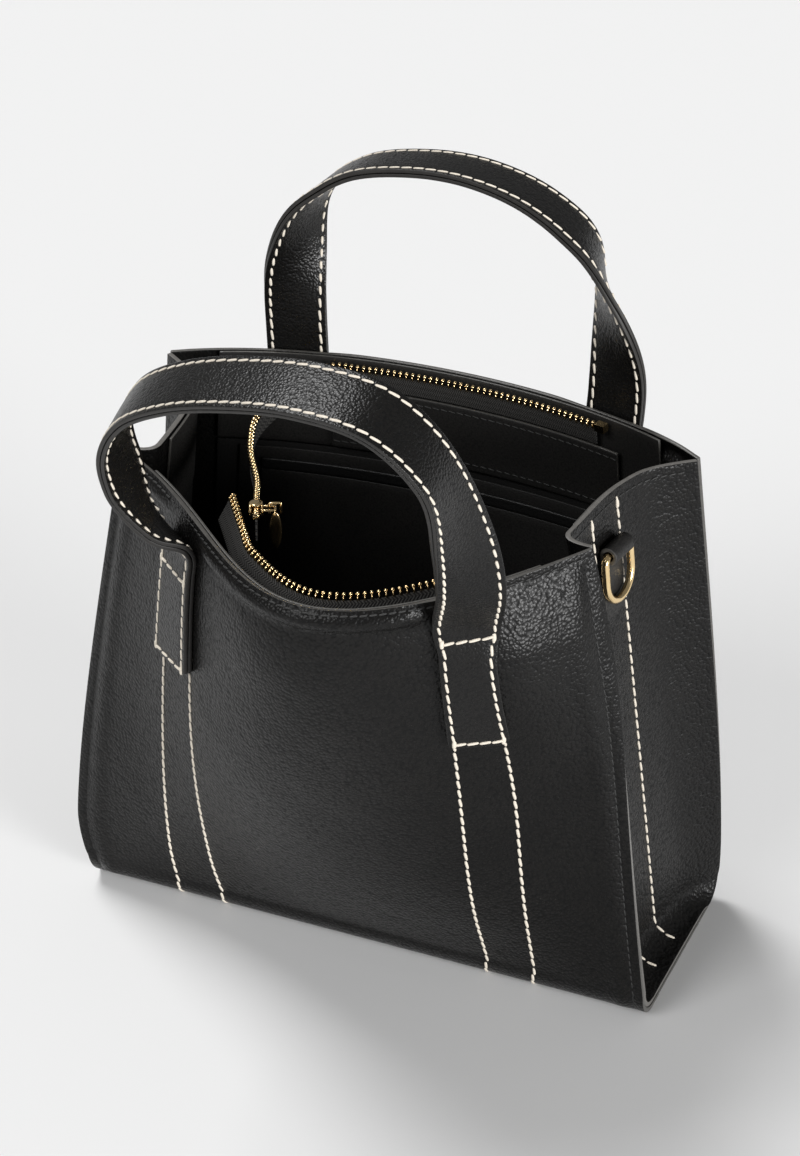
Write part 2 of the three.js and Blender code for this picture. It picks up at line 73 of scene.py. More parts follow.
# Front and back panels
# Two pieces of pebbled leather, sewn to the base strip, turned up round a soft fold and cut along
# the open rim. The front one is pulled forward at the mouth. The cut edges are painted dark grey.
MM = 0.001
LEATHER = 1.8
BASE_WIDTH = 240
HALF_BASE = 43.2
BEND = 11.2
FLAT = HALF_BASE - BEND
SEAM_BAND = 24
WALL_TALL = 200
SWELL = 1.5
BELLY = 7.5
RIGHT_BOW = 3.2
LEFT_BOW = 4.2
HIGH_BOW = 1.8
LOW_BOW = 0.6
CORNER_PULL = 4.6
CORNER_TALL = 35
CORNER_AT = 1.5
SIDE_HOLD = 8
RIM_HOLD = 12
FOOT_FADE = 0.15
RIM_STEPS = 400
EDGE_ROUND = 0.5
EDGE_STEPS = 2
EDGE_ANGLE = 50
OUTWARD = 1
CENTRED = 0
INWARD = -1
BAND_START = SEAM_BAND / FLAT


class Line:
    """A line through close points, read by the length along it."""

    def __init__(self, points):
        self.points = [Vector(p) for p in points]
        self.marks = [0.0]
        for p, q in zip(self.points, self.points[1:]):
            self.marks.append(self.marks[-1] + (q - p).length)
        self.long = self.marks[-1]

    def share(self, d):
        """The place of length d among the points, from 0 at the first to 1 at the last."""
        i = min(max(bisect.bisect_right(self.marks, d) - 1, 0), len(self.points) - 2)
        part = (d - self.marks[i]) / (self.marks[i + 1] - self.marks[i])
        return (i + part) / (len(self.points) - 1)

    def place(self, share):
        i = min(max(int(share * (len(self.points) - 1)), 0), len(self.points) - 2)
        return self.points[i].lerp(self.points[i + 1], share * (len(self.points) - 1) - i)

    def at(self, d):
        return self.place(self.share(d))

    def heading(self, d, reach=0.4):
        return (self.at(d + reach) - self.at(d - reach)).normalized()


def bezier(*points):
    return Line(geometry.interpolate_bezier(*[Vector(p) for p in points], RIM_STEPS))


def mix(a, b, f):
    return a + (b - a) * f


def smooth(f):
    f = min(max(f, 0), 1)
    return f * f * (3 - 2 * f)


def hump(x, middle, spread):
    return math.exp(-((x - middle) / spread) ** 2)


FRONT_RIM = bezier((-93, -41, 203), (-19, -77, 201), (-4, -167, 188), (92, -43, 204))
BACK_RIM = bezier((-109, 30, 206), (-52, 67, 207), (56, 62, 207), (107, 29, 206))

# Soft swells and hollows of the slack front: place across and up, spread there, and height
FRONT_SWELLS = (
    (0.72, 0.55, 0.26, 0.20, -2.4),
    (-0.10, 0.86, 0.28, 0.09, 1.6),
    (-0.24, 0.42, 0.22, 0.26, 2.2),
    (0.16, 0.40, 0.20, 0.30, -1.8),
    (-0.74, 0.46, 0.20, 0.24, -2.0),
    (0.46, 0.20, 0.30, 0.16, 1.4),
)

# The shoulder that the right part of the front makes under its rim: how far it stands out, where it
# starts, tops out and ends going up, and where it comes in going to the right
SHOULDER = 10
SHOULDER_RISE = (0.4, 0.85, 0.982)
SHOULDER_FROM = (0.42, 0.78)
SHOULDER_TAPER = 1.3


def shoulder(m, rise):
    start, crest, end = SHOULDER_RISE
    if rise < crest:
        tall = smooth((rise - start) / (crest - start))
    else:
        tall = 1 - ((min(rise, end) - crest) / (end - crest)) ** SHOULDER_TAPER
    return SHOULDER * tall * smooth((m - SHOULDER_FROM[0]) / (SHOULDER_FROM[1] - SHOULDER_FROM[0]))


@functools.lru_cache(maxsize=None)
def lip(side, m):
    rim = FRONT_RIM if side < 0 else BACK_RIM
    return rim.at((m + 1) / 2 * rim.long)


def bow(side, m, t, z):
    """The sideways shift of a panel, strongest at its side seams."""
    rise = min(max(t - 2, 0), 1)
    low = math.sin(math.pi * rise**LOW_BOW)
    if m > 0:
        return RIGHT_BOW * m * m * (math.sin(math.pi * rise**HIGH_BOW) if side < 0 else low)
    drawn = CORNER_PULL * smooth((t - BAND_START) / (CORNER_AT - BAND_START)) if side < 0 else 0
    return m * m * (drawn * (1 - smooth(z / CORNER_TALL)) - LEFT_BOW * low)


def wall(side, m, t):
    """The inner face of a panel, with m from -1 to 1 across it.

    t is 0 under the middle of the base, goes from 1 to 2 round the fold and is 3 at the rim.
    """
    x = m * BASE_WIDTH / 2
    if t <= 1:
        p = Vector((x, side * FLAT * t, LEATHER))
    elif t <= 2:
        turn = (t - 1) * math.pi / 2
        y = side * (FLAT + BEND * math.sin(turn))
        p = Vector((x, y, LEATHER + BEND * (1 - math.cos(turn))))
    else:
        rise = t - 2
        foot = Vector((x, side * HALF_BASE, LEATHER + BEND))
        top = lip(side, m)
        p = foot.lerp(top, rise)
        if side < 0:
            p.y = mix(foot.y, top.y, 1 - max(1 - rise, 0) ** SWELL)
            p.y -= BELLY * math.sin(math.pi * min(rise, 1)) * (1 - m * m) * (1 - m)
            inward = 1 - m**SIDE_HOLD
            fade = inward * (1 - min(rise, 1) ** RIM_HOLD) * smooth(rise / FOOT_FADE)
            p.y -= fade * sum(h * hump(m, a, da) * hump(rise, b, db)
                              for a, b, da, db, h in FRONT_SWELLS)
            p.y -= inward * shoulder(m, rise)
    p.x += bow(side, m, t, p.z)
    return p


def front(m, t):
    return wall(-1, m, t)


def back(m, t):
    return wall(1, -m, t)


def normal_of(surface, a, b, reach=1e-3):
    along_a = surface(a + reach, b) - surface(a - reach, b)
    along_b = surface(a, b + reach) - surface(a, b - reach)
    return along_a.cross(along_b).normalized()


def lifted(surface, a, b, height):
    return surface(a, b) + normal_of(surface, a, b) * height


def skin(name, surface, grid, spread=(1, 1)):
    """A grid of faces on surface(u, v), for u and v from 0 to 1, with UVs that run over spread."""
    bm = bmesh.new()
    uv = bm.loops.layers.uv.new("UVMap")
    bmesh.ops.create_grid(bm, x_segments=grid[0], y_segments=grid[1], size=0.5)
    for face in bm.faces:
        face.smooth = True
        for loop in face.loops:
            loop[uv].uv = ((loop.vert.co.x + 0.5) * spread[0], (loop.vert.co.y + 0.5) * spread[1])
    for vert in bm.verts:
        vert.co = surface(vert.co.x + 0.5, vert.co.y + 0.5) * MM
    return piece(name, bm)


def piece(name, bm):
    mesh = bpy.data.meshes.new(name)
    bm.to_mesh(mesh)
    bm.free()
    made = bpy.data.objects.new(name, mesh)
    bpy.context.scene.collection.objects.link(made)
    return made


def thicken(made, thick, offset, edge_round=EDGE_ROUND):
    """Gives a sheet its thickness, with rounded cut edges in the second material."""
    wall_of = made.modifiers.new("thickness", "SOLIDIFY")
    wall_of.thickness = thick * MM
    wall_of.offset = offset
    wall_of.use_even_offset = True
    wall_of.material_offset_rim = 1
    rounded = made.modifiers.new("edge", "BEVEL")
    rounded.width = edge_round * MM
    rounded.segments = EDGE_STEPS
    rounded.limit_method = "ANGLE"
    rounded.angle_limit = math.radians(EDGE_ANGLE)
    return made


def dress(made, body, slot, *materials):
    """Gives a piece its materials and the body that it rides on. Its slot is not used."""
    for stuff in materials:
        made.data.materials.append(stuff)
    if body:
        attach(made, body)
    return made


class Flow:
    """A socket in a material's nodes. Arithmetic on it adds Math nodes."""

    def __init__(self, tree, socket=None):
        self.tree = tree
        self.socket = socket

    def node(self, kind, inputs, out=0, **settings):
        made = self.tree.nodes.new("ShaderNode" + kind)
        for name, value in settings.items():
            setattr(made, name, value)
        for key, value in inputs.items():
            if isinstance(value, Flow):
                self.tree.links.new(value.socket, made.inputs[key])
            else:
                made.inputs[key].default_value = value
        return Flow(self.tree, made.outputs[out])

    def math(self, operation, *values):
        return self.node("Math", dict(enumerate((self, *values))), operation=operation)

    def __add__(self, other):
        return self.math("ADD", other)

    __radd__ = __add__

    def __mul__(self, other):
        return self.math("MULTIPLY", other)

    __rmul__ = __mul__

    def __sub__(self, other):
        return self.math("SUBTRACT", other)

    def __rsub__(self, other):
        return self.node("Math", {0: other, 1: self}, operation="SUBTRACT")

    def blend(self, low, high):
        """A colour from low to high as this value goes from 0 to 1."""
        return self.node("Mix", {0: self, 6: (*low, 1), 7: (*high, 1)}, out=2, data_type="RGBA")

    def bump(self, strength, distance, over=None):
        """A normal that this value raises, over another normal if there is one."""
        inputs = {"Height": self, "Strength": strength, "Distance": distance}
        if over:
            inputs["Normal"] = over
        return self.node("Bump", inputs, out="Normal")

    def into(self, shader, name):
        self.tree.links.new(self.socket, shader.inputs[name])


def finish(name, **constants):
    """A new material with its shader's constants set, the shader, and a start for its pattern."""
    made = bpy.data.materials.new(name)
    made.use_nodes = True
    shader = made.node_tree.nodes["Principled BSDF"]
    for socket, value in constants.items():
        shader.inputs[socket.replace("_", " ")].default_value = value
    return made, shader, Flow(made.node_tree)


MOTTLE_HIGH = 0.2


def mottled(name, dark, light, rough, spread, scale, bump=0, **constants):
    """A material whose colour and gloss wander between two values with a fine noise."""
    made, shader, draw = finish(name, **constants)
    spot = draw.node("TexCoord", {}, out="Object")
    noise = draw.node("TexNoise", {"Vector": spot, "Scale": scale, "Detail": 4})
    noise.blend(dark, light).into(shader, "Base Color")
    (rough + noise * spread).into(shader, "Roughness")
    if bump:
        noise.bump(bump, MOTTLE_HIGH * MM).into(shader, "Normal")
    return made


# The grain: how its cells wander, their creases and height, the pores and the slow give of the hide
WANDER_SCALE = 330
WANDER = 1.1
MIDDLE_GREY = (0.5, 0.5, 0.5)
CREASE_SOFT = 0.25
CREASE_DEEP = 1.7
CREASE_ROUGH = 0.15
PEBBLE_HIGH = 0.5
PORE_SCALE = 2400
PORE_DEEP = 0.15
PORE_ROUGH = 0.06
GIVE_SCALE = 45
GIVE_HIGH = 1.4
GIVE_TONE = 0.4


def grained(name, dark, light, rough, grain, cell, slack, shine=0.3):
    """Leather pressed with a pebble grain: cells of that width in mm with fine creases between."""
    made, shader, draw = finish(name, Specular_IOR_Level=shine)
    spot = draw.node("TexCoord", {}, out="Object")
    waves = {"Vector": spot, "Scale": WANDER_SCALE, "Detail": 2}
    wander = draw.node("TexNoise", waves, out="Color")
    bent = draw.node("VectorMath", {0: wander, 1: MIDDLE_GREY}, operation="SUBTRACT")
    bent = draw.node("VectorMath", {0: bent, "Scale": WANDER * MM}, operation="SCALE")
    bent = draw.node("VectorMath", {0: spot, 1: bent}, operation="ADD")
    cells = {"Vector": bent, "Scale": 1 / (cell * MM), "Smoothness": CREASE_SOFT}
    pebble = draw.node("TexVoronoi", cells, out="Distance", feature="SMOOTH_F1")
    dome = 1 - pebble * pebble * CREASE_DEEP
    pores = draw.node("TexNoise", {"Vector": spot, "Scale": PORE_SCALE, "Detail": 3})
    give = draw.node("TexNoise", {"Vector": spot, "Scale": GIVE_SCALE, "Detail": 3})
    fine = (dome + pores * PORE_DEEP).bump(grain, PEBBLE_HIGH * MM)
    give.bump(slack, GIVE_HIGH * MM, fine).into(shader, "Normal")
    # The colour darkens from the domes of the cells into the creases between them: painted shade in
    # the creases. The slow give varies the tone at random.
    (dome * (give + GIVE_TONE)).blend(dark, light).into(shader, "Base Color")
    (rough + pores * PORE_ROUGH + (1 - dome) * CREASE_ROUGH).into(shader, "Roughness")
    return made


BLACK = (0.002, 0.002, 0.002)
SOFT_BLACK = (0.008, 0.0075, 0.007)
leather = grained("pebbled_leather", BLACK, SOFT_BLACK,
                  rough=0.23, grain=0.34, cell=1.3, slack=0.6, shine=0.21)
edge_paint = mottled("edge_paint", (0.05, 0.048, 0.045), (0.11, 0.105, 0.096),
                     rough=0.28, spread=0.15, scale=420, bump=0.2)

PANEL_FOOT = BAND_START + 0.01
FOLD_LONG = BEND * math.pi / 2
FOOT_LONG = FLAT - SEAM_BAND
PANEL_LONG = FOOT_LONG + FOLD_LONG + WALL_TALL
RIM_ROLL = 2.6
ROLL_TO = (0.4, 0.6)
ROLL_IN = 4.8
ROLL_WIDE = 2.9
RIM_SINK = 0.5
RIM_BAND = 10
SEAM_FADE = 15
STITCH_IN = 4.2
GROOVE = 0.7
GROOVE_WIDE = 1.3
RIDGE_IN = 9.5
RIDGE = 0.7
RIDGE_WIDE = 3.2
SEWN_FROM = 1.3
SEWN_OVER = 0.5
CROWDING = 0.55
PANEL_GRID = (130, 150)


def crowd(s):
    """Moves evenly spaced shares from 0 to 1 closer together near both ends."""
    return mix(s, 0.5 - 0.5 * math.cos(math.pi * s), CROWDING)


def panel_row(v):
    """The wall's t for a share v of the panel's length."""
    d = v * PANEL_LONG
    if d < FOOT_LONG:
        return mix(PANEL_FOOT, 1, d / FOOT_LONG)
    if d < FOOT_LONG + FOLD_LONG:
        return 1 + (d - FOOT_LONG) / FOLD_LONG
    return 2 + (d - FOOT_LONG - FOLD_LONG) / WALL_TALL


def sewn_edge(d):
    """How the leather dips at a stitch line near its edge and swells just beyond it."""
    return RIDGE * hump(d, RIDGE_IN, RIDGE_WIDE) - GROOVE * hump(d, STITCH_IN, GROOVE_WIDE)


def rolled_edge(d):
    """How the leather swells in a narrow roll under the rim and sinks a little below it."""
    return RIM_ROLL * hump(d, ROLL_IN, ROLL_WIDE) - RIM_SINK * hump(d, RIM_BAND, ROLL_IN)


def panel(surface, straps_at):
    """A panel with raised and sunk edges, and the roll under its rim pressed flat by the straps."""
    def raised(m, t):
        rim = (3 - t) * WALL_TALL
        seam = (1 - abs(m)) * BASE_WIDTH / 2
        inward = smooth(seam / SEAM_FADE)
        pressed = sum(math.exp(-((m - place) / STRAP_SPAN) ** 4) for place in straps_at)
        rolled = 1 - smooth((m - ROLL_TO[0]) / (ROLL_TO[1] - ROLL_TO[0]))
        rise = rolled_edge(rim) * inward * rolled * (1 - pressed)
        rise += sewn_edge(seam) * smooth(rim / RIM_BAND) * smooth((t - SEWN_FROM) / SEWN_OVER)
        return lifted(surface, m, t, rise)
    return raised


# Where each handle's ends are sewn, as shares across its panel
STRAPS_AT = {"front": (-0.55, 0.571), "back": (0.558, -0.583)}
STRAP_SPAN = 0.15
panels = {"front": panel(front, STRAPS_AT["front"]), "back": panel(back, STRAPS_AT["back"])}
for name, raised in panels.items():
    def laid(u, v, raised=raised):
        return raised(2 * crowd(u) - 1, panel_row(crowd(v)))
    made = skin(f"{name}_leather", laid, PANEL_GRID, (BASE_WIDTH, PANEL_LONG))
    dress(thicken(made, LEATHER, OUTWARD), "bag", "leather", leather, edge_paint)
    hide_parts(f"{name}_panel")

# Base strip and its stiff board
# The middle of the underside is a strip of the same leather between the two panels. A board lies on
# it inside the bag, under the lining, so that the base stays flat.
BASE_GRID = (48, 10)


def base_face(u, v):
    return Vector((mix(-1, 1, u) * BASE_WIDTH / 2, mix(-1, 1, v) * SEAM_BAND, 0))


base = thicken(skin("base_leather", base_face, BASE_GRID), LEATHER, OUTWARD)
dress(base, "bag", "leather", leather, edge_paint)
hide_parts("base_panel")


def coat(node, stuff):
    """Gives a solid that stays in view its own material."""
    shown = frame["nodes"][node]
    shown.data.materials.clear()
    shown.data.materials.append(stuff)
    return shown


coat("base_board", mottled("grey_board", (0.1, 0.09, 0.075), (0.2, 0.18, 0.15),
                           rough=0.75, spread=0.2, scale=700))

# Gussets
# Two side pieces of the same leather. Each is sewn to both panels along a turned-out flange, folded
# into the bag between them, and kicked out to the full width of the base at the bottom.
FLANGE = 12
EDGE_SET = 0.2
SEAM_GAP = 0.3
WEB_AT_BASE = 104
WEB_AT_RIM = 83
WEB_TURN = 3
WEB_SHARES = (0.21, 0.46, 0.65, 0.86)
BACK_EASE = 0.4
GUSSET_TALL = 215
GUSSET_WIDE = 120
GUSSET_GRID = (96, 110)
# The gussets' cut edges take a lighter copy of the edge paint: painted light, standing for the
# light that the seam edges catch.
seam_edge_painted_light = mottled("seam_edge_painted_light", (0.09, 0.086, 0.08), (0.17, 0.162, 0.15),
                    rough=0.3, spread=0.15, scale=420, bump=0.2)


def soft_line(points, s):
    """A point of the quadratic B-spline that the points pull."""
    spans = len(points) - 2
    i = min(max(int(s * spans), 0), spans - 1)
    f = s * spans - i
    start = points[0] if i == 0 else points[i].lerp(points[i + 1], 0.5)
    end = points[-1] if i == spans - 1 else points[i + 1].lerp(points[i + 2], 0.5)
    return start.lerp(points[i + 1], f).lerp(points[i + 1].lerp(end, f), f)


@functools.lru_cache(maxsize=None)
def gusset_pulls(side, t):
    m = side * (1 - 2 * EDGE_SET / BASE_WIDTH)
    edge_front = lifted(front, m, t, -SEAM_GAP)
    edge_back = lifted(back, -m, t, -SEAM_GAP)
    kick = smooth(min(t - 1, 1) * 0.5 + 0.5) * 2 - 1
    web = side * mix(WEB_AT_BASE, WEB_AT_RIM, max(t - 2, 0))

    def inset(p, x):
        return Vector((mix(p.x, x, kick), p.y, p.z))

    near, middle, far, last = (edge_front.lerp(edge_back, f) for f in WEB_SHARES)
    return [
        edge_front,
        inset(edge_front, edge_front.x - side * FLANGE),
        inset(near, web - side * WEB_TURN / 2),
        inset(middle, web),
        inset(far, web + side * WEB_TURN),
        inset(last, mix(web, edge_back.x, BACK_EASE)),
        edge_back,
    ]


def gusset(side):
    return lambda u, t: soft_line(gusset_pulls(side, t), u if side > 0 else 1 - u)


def gusset_row(v):
    return panel_row(mix(FOOT_LONG / PANEL_LONG, 1, v))


SIDES = (("left", -1), ("right", 1))
for name, side in SIDES:
    web = gusset(side)
    made = skin(f"{name}_gusset_leather", lambda u, v: web(u, gusset_row(v)), GUSSET_GRID,
                (GUSSET_WIDE, GUSSET_TALL))
    dress(thicken(made, LEATHER, OUTWARD), "bag", "leather", leather, seam_edge_painted_light)
    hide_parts(f"gusset_{name}")

# Facings and lining
# A narrow strip of leather backs the rim all round. A black woven lining is sewn to it, covers the
# walls and the base, and is held smooth against them.
FACING = 1.2
FACING_SPAN = 0.83
FACING_TOP = 0.999
FACING_GRID = (80, 16)
FLAP_ROOT = 0.8
LAYER = 0.5
LINING = 0.8
LINING_LOW = 0.02
LINING_TOP = FLAP_ROOT - 0.005
LINING_GRID = (48, 40)
SIDE_SPAN = (0.28, 0.72)
SIDE_LOW = 0.1
SIDE_TOP = 0.995
SIDE_GRID = (40, 24)
BASE_LINING = (100, 30, 4.4)
BASE_LINING_GRID = (40, 12)
CLOTH_ROUND = 0.3
CUT_STEPS = 40

THREAD_SCALE = 560
THREAD_HIGH = 0.2
THREAD_BUMP = 0.4
LINING_ROUGH = 0.75
LINING_SPREAD = 0.2
LINING_DARK = (0.003, 0.003, 0.003)
LINING_LIGHT = (0.012, 0.0115, 0.011)
lining, lining_shader, lining_draw = finish("woven_lining", Specular_IOR_Level=0.2)
lining_spot = lining_draw.node("TexCoord", {}, out="Object")
threads = {"Vector": lining_spot, "Scale": THREAD_SCALE, "Distortion": 0.4}
weave = (lining_draw.node("TexWave", threads, out="Color", bands_direction="Z") * 0.5
         + lining_draw.node("TexWave", threads, out="Color", bands_direction="X") * 0.5)
weave.blend(LINING_DARK, LINING_LIGHT).into(lining_shader, "Base Color")
(LINING_ROUGH + weave * LINING_SPREAD).into(lining_shader, "Roughness")
weave.bump(THREAD_BUMP, THREAD_HIGH * MM).into(lining_shader, "Normal")
smooth_leather = grained("smooth_leather", (0.008, 0.0077, 0.0073), (0.02, 0.019, 0.018),
                         rough=0.4, grain=0.12, cell=0.7, slack=0.1)


def hung(surface, span, low, high, deep):
    """A layer inside a wall: as wide as its middle share, between two heights, at a depth."""
    return lambda u, v: lifted(surface, mix(-span, span, u), 2 + mix(low, high, v), -deep)


def strip(name, surface, grid, thick, materials, node, slot, edge_round=CLOTH_ROUND):
    """A layer of the inside, which stands for a node."""
    made = thicken(skin(name, surface, grid), thick, INWARD, edge_round)
    dress(made, "bag", slot, *materials)
    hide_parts(node)
    return made


def cloth(name, surface, grid, stuff, node):
    """A sewn-in sheet of cloth, whose cut width and height are measured but not used."""
    made = strip(name, surface, grid, LINING, (stuff, stuff), node, "lining")
    wide = Line([surface(i / CUT_STEPS, 0.5) for i in range(CUT_STEPS + 1)]).long
    tall = Line([surface(0.5, i / CUT_STEPS) for i in range(CUT_STEPS + 1)]).long
    wide * MM
    tall * MM


WALLS = (("front", front), ("back", back))
for name, surface in WALLS:
    strip(f"{name}_facing_strip", hung(surface, FACING_SPAN, FLAP_ROOT, FACING_TOP, LAYER),
          FACING_GRID, FACING, (smooth_leather, edge_paint), f"facing_{name}", "leather")
    cloth(f"{name}_lining_cloth", hung(surface, FACING_SPAN, LINING_LOW, LINING_TOP, LAYER),
          LINING_GRID, lining, f"lining_{name}")
for name, side in SIDES:
    web = gusset(side)

    def behind(low, high):
        return lambda u, v: lifted(web, mix(*SIDE_SPAN, u), 2 + mix(low, high, v), -SEAM_GAP)
    strip(f"{name}_facing_side", behind(FLAP_ROOT, SIDE_TOP), SIDE_GRID, FACING,
          (smooth_leather, edge_paint), f"facing_{name}", "leather")
    cloth(f"{name}_lining_side", behind(SIDE_LOW, LINING_TOP), SIDE_GRID, lining, f"lining_{name}")


def on_board(u, v):
    x, y, z = BASE_LINING
    return Vector((mix(-x, x, u), mix(-y, y, v), z + LINING))


cloth("base_lining_cloth", on_board, BASE_LINING_GRID, lining, "lining_base")

# Pockets on the inside of the back wall
# A slip pocket of smooth leathercloth is sewn on the back lining. A lower patch pocket lies on it,
# with a strip of shiny leather bound over its top edge.
SLIP_SPAN = 0.75
SLIP_RISE = (0.24, 0.785)
SLIP_DEEP = LAYER + LINING + SEAM_GAP
POCKET_SPAN = 0.667
POCKET_RISE = (0.2, 0.735)
POCKET_DEEP = SLIP_DEEP + LINING + SEAM_GAP
POCKET_GRID = (48, 30)
BINDING = 1.6
BINDING_RISE = (0.738, 0.762)
BINDING_DEEP = POCKET_DEEP - 0.1
BINDING_ROUND = 0.6
BINDING_GRID = (64, 4)
bound_leather = grained("bound_leather", (0.006, 0.006, 0.006), (0.012, 0.012, 0.012),
                        rough=0.26, grain=0.2, cell=0.8, slack=0.1)
cloth("slip_pocket_cloth", hung(back, SLIP_SPAN, *SLIP_RISE, SLIP_DEEP), POCKET_GRID,
      smooth_leather, "slip_pocket")
cloth("patch_pocket_cloth", hung(back, POCKET_SPAN, *POCKET_RISE, POCKET_DEEP), POCKET_GRID,
      smooth_leather, "patch_pocket")
strip("pocket_edge_binding", hung(back, POCKET_SPAN, *BINDING_RISE, BINDING_DEEP), BINDING_GRID,
      BINDING, (bound_leather, bound_leather), "pocket_binding", "leather", BINDING_ROUND)

# Zip flaps, tapes and teeth
# Leather flaps sewn to the walls below the rim carry the two halves of a metal zip. Each half is a
# woven tape with brass teeth clamped on its edge. Undone, the back half hangs across the mouth.
FLAP_FOOT = FLAP_ROOT + 0.004
FLAP_TOP = 0.94
FLAP_THICK = 1.4
FLAP_DEEP = LAYER + FACING + LAYER
FLAP_ROUND = 0.4
FLAP_GRID = (72, 20)
FRONT_FLAP = (-0.5, 0.667)
BACK_FLAP = (-0.667, 0.417)
FRONT_FLAP_REACH = 4
BACK_FLAP_REACH = 1.2
TAPE = 0.7
TAPE_FOOT = 0.944
TAPE_WIDE = 9
TAPE_ROUND = 0.2
TAPE_GRID = (160, 6)
TOOTH_PITCH = 2.5
COLUMN_COUNT = 24
COLUMNS = [mix(-1, 1, i / COLUMN_COUNT) for i in range(COLUMN_COUNT + 1)]


def between(low, high):
    return [m for m in COLUMNS if low < m < high]


def flap(surface, span, reach):
    def laid(u, v):
        w = mix(FLAP_FOOT, FLAP_TOP, v)
        return lifted(surface, mix(*span, u), 2 + w, -FLAP_DEEP - reach * smooth(v))
    return laid


flaps = {
    "front": flap(front, FRONT_FLAP, FRONT_FLAP_REACH),
    "back": flap(back, BACK_FLAP, BACK_FLAP_REACH),
}
for name, surface in flaps.items():
    strip(f"{name}_zip_leather", surface, FLAP_GRID, FLAP_THICK, (smooth_leather, edge_paint),
          f"zip_flap_{name}", "leather", FLAP_ROUND)


def through(points, count=40):
    """A smooth line through a few points, as a centripetal Catmull-Rom spline gives it."""
    points = [Vector(p) for p in points]
    ends = [points[0] * 2 - points[1], *points, points[-1] * 2 - points[-2]]
    line = []
    for a, b, c, d in zip(ends, ends[1:], ends[2:], ends[3:]):
        before, here, after = ((q - p).length ** 0.5 for p, q in ((a, b), (b, c), (c, d)))
        leave = ((b - a) / before - (c - a) / (before + here)) * here + (c - b)
        reach = ((d - c) / after - (d - b) / (here + after)) * here + (c - b)
        for i in range(count):
            f = i / count
            line.append(b + leave * f + (3 * (c - b) - 2 * leave - reach) * f**2
                        + (2 * (b - c) + leave + reach) * f**3)
    return Line([*line, points[-1]])


# The tape is a herringbone: ribs that lean to and fro across it, in millimetres of its UV map
CHEVRON = 1.5
CHEVRON_LEAN = 0.8
RIB_TURN = 5.2
RIB_HIGH = 0.3
RIB_BUMP = 0.7
RIB_SHINE = 0.25
TAPE_ROUGH = 0.85
TAPE_DARK = (0.006, 0.006, 0.006)
TAPE_LIGHT = (0.05, 0.048, 0.045)
tape, tape_shader, tape_draw = finish("woven_tape", Specular_IOR_Level=0.3)
tape_map = tape_draw.node("TexCoord", {}, out="UV")
tape_rows = tape_draw.node("SeparateXYZ", {0: tape_map}, out="X")
tape_across = tape_draw.node("SeparateXYZ", {0: tape_map}, out="Y")
chevron = tape_across.math("PINGPONG", CHEVRON)
rib = ((tape_rows + chevron * CHEVRON_LEAN) * RIB_TURN).math("SINE") * 0.5 + 0.5
rib.blend(TAPE_DARK, TAPE_LIGHT).into(tape_shader, "Base Color")
(TAPE_ROUGH - rib * RIB_SHINE).into(tape_shader, "Roughness")
rib.bump(RIB_BUMP, RIB_HIGH * MM).into(tape_shader, "Normal")

gold = mottled("pale_gold", (0.78, 0.56, 0.28), (0.90, 0.70, 0.40),
               rough=0.12, spread=0.14, scale=260, Metallic=1)

# A tooth is a pair of legs clamped on the tape's edge and a round head, each with its place and its
# radii along the chain, out from the tape and up
TOOTH_LUMPS = (
    ((0, 0.35, 0), (0.4, 1.3, 1.3)),
    ((0, 1.65, 0), (0.75, 0.85, 1.0)),
)


def stretched(centre, axes, radii):
    """The matrix that makes a unit shape as large as radii along three directions."""
    columns = [a * r * MM for a, r in zip(axes, radii)]
    turned = Matrix(columns).transposed().to_4x4()
    return Matrix.Translation(Vector(centre) * MM) @ turned


def pellet(segments, rings, blunt):
    """A unit ball as a mesh to be copied, squared off towards a pill where blunt is under 1."""
    bm = bmesh.new()
    bmesh.ops.create_uvsphere(bm, u_segments=segments, v_segments=rings, radius=1)
    for vert in bm.verts:
        wide = math.hypot(vert.co.x, vert.co.y)
        if wide > 1e-6:
            vert.co.xy *= wide ** (blunt - 1)
        vert.co.z = math.copysign(abs(vert.co.z) ** blunt, vert.co.z)
    for face in bm.faces:
        face.smooth = True
    mesh = bpy.data.meshes.new("pellet")
    bm.to_mesh(mesh)
    bm.free()
    return mesh


def scatter(name, shape, places):
    """One piece made of a copy of the shape at each place, which is a matrix."""
    bm = bmesh.new()
    for place in places:
        shape.transform(place)
        bm.from_mesh(shape)
        shape.transform(place.inverted())
    return piece(name, bm)


BEAD = pellet(segments=10, rings=8, blunt=0.9)


def zip_half(name, rows, flip):
    """A tape and its teeth. Each row is a point of the tape's sewn edge and one of the chain."""
    edge = through([r[0] for r in rows])
    chain = through([r[1] for r in rows])

    def reach(s):
        return (chain.place(s) - edge.place(s)).normalized()

    def ribbon(u, v):
        s = 1 - u if flip else u
        return edge.place(s).lerp(chain.place(s) - reach(s) * LAYER, v)

    band = skin(f"{name}_zip_ribbon", ribbon, TAPE_GRID, (chain.long, TAPE_WIDE))
    dress(thicken(band, TAPE, CENTRED, TAPE_ROUND), "bag", "zip_tape", tape, tape)
    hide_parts(f"zip_tape_{name}")
    places = []
    count = round(chain.long / TOOTH_PITCH)
    for i in range(count):
        d = (i + 0.5) * chain.long / count
        t = chain.heading(d)
        out = reach(chain.share(d))
        up = t.cross(out).normalized()
        for (a, b, c), radii in TOOTH_LUMPS:
            places.append(stretched(chain.at(d) + t * a + out * b + up * c, (t, out, up), radii))
    teeth = dress(scatter(f"{name}_zip_chain", BEAD, places), "bag", "gold_metal", gold)
    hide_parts(f"zip_teeth_{name}")


def inside(surface, m, w, deep):
    return lifted(surface, m, 2 + w, -deep)


